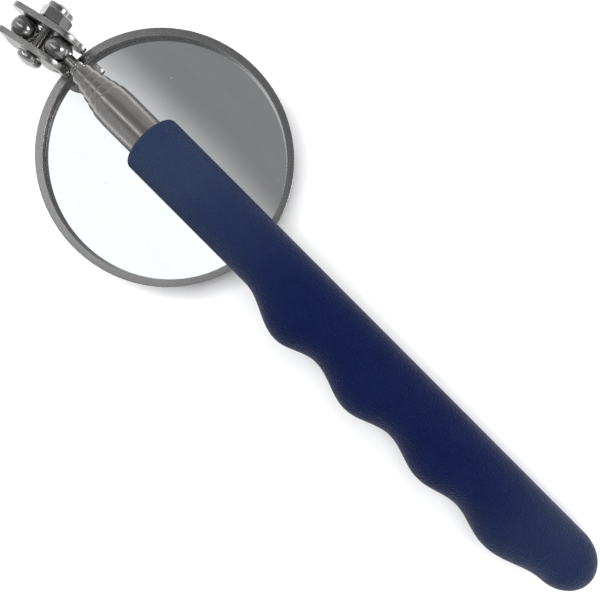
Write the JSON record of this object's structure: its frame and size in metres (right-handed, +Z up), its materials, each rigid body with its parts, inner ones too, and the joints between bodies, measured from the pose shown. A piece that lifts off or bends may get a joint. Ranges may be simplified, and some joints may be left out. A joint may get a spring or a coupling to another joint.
{
  "type": "telescoping inspection mirror",
  "caption": "Telescoping inspection mirror: round steel-rimmed mirror on a double ball joint at the end of a pull-out rod, with a finger-grip vinyl handle, folded.",
  "frame": {"origin": "centre of the bottom of the folded object's bounding box, on the surface it lies on", "axes": "+X along the handle towards the ball joints, +Y towards the grip's finger lobes, +Z up, the way the mirror faces"},
  "size_m": [0.1502, 0.0508, 0.0232],
  "materials": {
    "grip": "soft dipped vinyl with a fine pebbled surface",
    "tube_steel": "satin drawn stainless steel",
    "end_plug": "moulded plastic",
    "spring_bronze": "bright spring strip",
    "stud_steel": "polished, turned",
    "ball_steel": "polished",
    "clamp_steel": "stamped sheet with bright pressed seats",
    "fastener_steel": "bright zinc plating",
    "nylon": "moulded",
    "bezel_steel": "turned satin finish",
    "back_steel": "pressed sheet, satin",
    "foam": "closed-cell foam",
    "mirror": "silvered glass"
  },
  "bodies": {
    "handle": {"grip": "grip", "outer_tube": "tube_steel", "tube_end_plug": "end_plug"},
    "stage_2": {"tube_2": "tube_steel", "friction_spring_2": "spring_bronze"},
    "stage_3": {"tube_3": "tube_steel", "friction_spring_3": "spring_bronze"},
    "stage_4": {"tube_4": "tube_steel", "friction_spring_4": "spring_bronze"},
    "stage_5": {"tube_5": "tube_steel", "friction_spring_5": "spring_bronze"},
    "rod_stud": {"rod_stud": "stud_steel"},
    "rod_ball": {"rod_ball": "ball_steel"},
    "clamp": {"clamp_plate_head_side": "clamp_steel", "clamp_plate_nut_side": "clamp_steel", "clamp_screw": "fastener_steel"},
    "lock_nut": {"lock_nut": "fastener_steel", "nylon_ring": "nylon"},
    "mirror_ball": {"mirror_ball": "ball_steel"},
    "mirror_stud": {"mirror_stud": "stud_steel"},
    "mirror_head": {"mirror_bracket": "back_steel", "rivet_1": "back_steel", "rivet_2": "back_steel", "mirror_back": "back_steel", "foam_pad": "foam", "mirror_glass": "mirror", "mirror_bezel": "bezel_steel"}
  },
  "joints": [
    {"name": "tube_2_slide", "type": "slide", "parent": "handle", "child": "stage_2", "axis": [0.9948, 0, 0.1017], "range_m": [0, 0.106]},
    {"name": "tube_3_slide", "type": "slide", "parent": "stage_2", "child": "stage_3", "axis": [0.9948, 0, 0.1017], "range_m": [0, 0.103]},
    {"name": "tube_4_slide", "type": "slide", "parent": "stage_3", "child": "stage_4", "axis": [0.9948, 0, 0.1017], "range_m": [0, 0.101]},
    {"name": "tube_5_slide", "type": "slide", "parent": "stage_4", "child": "stage_5", "axis": [0.9948, 0, 0.1017], "range_m": [0, 0.098]},
    {"name": "rod_spin", "type": "hinge", "parent": "stage_5", "child": "rod_stud", "pos_m": [0.06239, -0.00001, 0.01937], "axis": [0.9948, 0, 0.1017], "continuous": true},
    {"name": "rod_tilt", "type": "hinge", "parent": "rod_stud", "child": "rod_ball", "pos_m": [0.06239, -0.00001, 0.01937], "axis": [-0.1017, 0, 0.9948], "range_deg": [-22, 1]},
    {"name": "rod_swing", "type": "hinge", "parent": "rod_ball", "child": "clamp", "pos_m": [0.06239, -0.00001, 0.01937], "axis": [0.1898, -0.9816, 0.0194], "range_deg": [-3, 110]},
    {"name": "nut_turn", "type": "hinge", "parent": "clamp", "child": "lock_nut", "pos_m": [0.06662, 0.0008, 0.01889], "axis": [-0.1898, 0.9816, -0.0194], "continuous": true},
    {"name": "mirror_swing", "type": "hinge", "parent": "clamp", "child": "mirror_ball", "pos_m": [0.07084, 0.00161, 0.01842], "axis": [0.1898, -0.9816, 0.0194], "range_deg": [-2.5, 215]},
    {"name": "mirror_tilt", "type": "hinge", "parent": "mirror_ball", "child": "mirror_stud", "pos_m": [0.07084, 0.00161, 0.01842], "axis": [-0.8753, -0.0283, 0.4828], "range_deg": [-5, 12]},
    {"name": "mirror_spin", "type": "hinge", "parent": "mirror_stud", "child": "mirror_head", "pos_m": [0.07084, 0.00161, 0.01842], "axis": [-0.4824, -0.0196, -0.8757], "range_deg": [-20, 20]}
  ]
}
